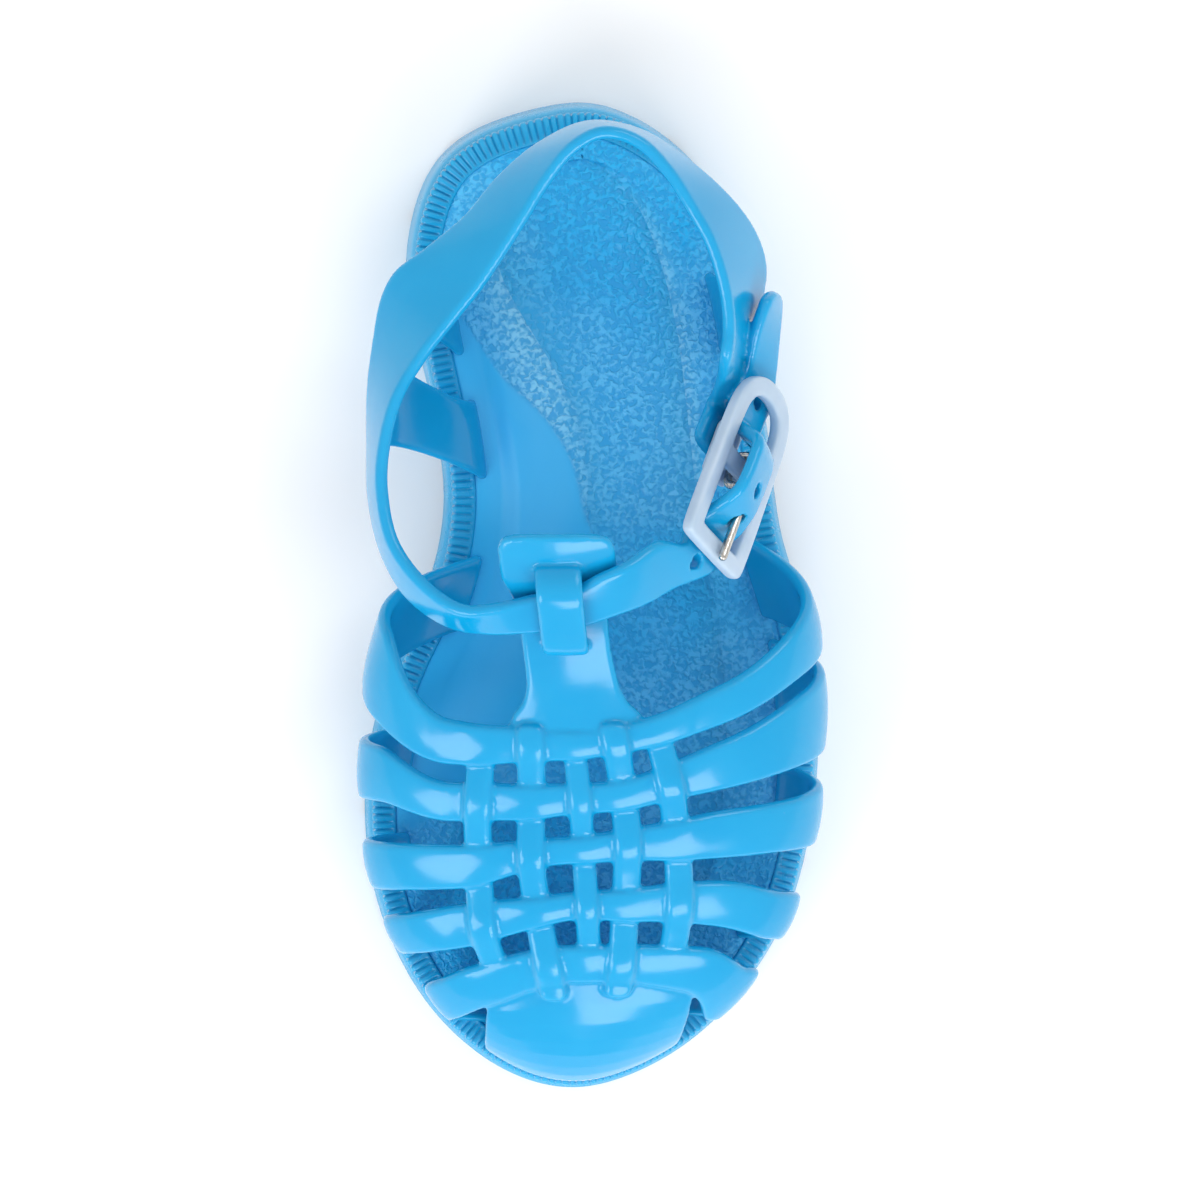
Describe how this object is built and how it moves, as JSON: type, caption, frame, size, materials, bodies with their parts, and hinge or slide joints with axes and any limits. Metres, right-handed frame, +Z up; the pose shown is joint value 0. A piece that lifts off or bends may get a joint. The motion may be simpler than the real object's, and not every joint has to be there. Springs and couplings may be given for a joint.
{
  "type": "jelly sandal",
  "caption": "Toddler's moulded jelly sandal for the left foot: woven cage vamp, T-bar with keeper, ankle strap with buckle, open heel, ribbed rim and low block sole.",
  "frame": {"origin": "on the floor, in the middle of the shoe's length and width", "axes": "+Y from the toe to the heel, +X to the outer side of the left foot, +Z up"},
  "size_m": [0.0731, 0.156, 0.0596],
  "materials": {
    "sole": "soft moulded plastic, satin",
    "footbed": "soft moulded plastic, pebbled",
    "upper": "soft moulded plastic, glossy",
    "buckle_frame": "milky, slightly see-through",
    "buckle_plate": "milky, slightly see-through",
    "buckle_prong": "plain steel wire"
  },
  "bodies": {
    "root": {"sole": "sole", "footbed": "footbed", "upper": "upper", "buckle_frame": "buckle_frame", "buckle_plate": "buckle_plate", "buckle_prong": "buckle_prong"}
  },
  "joints": []
}
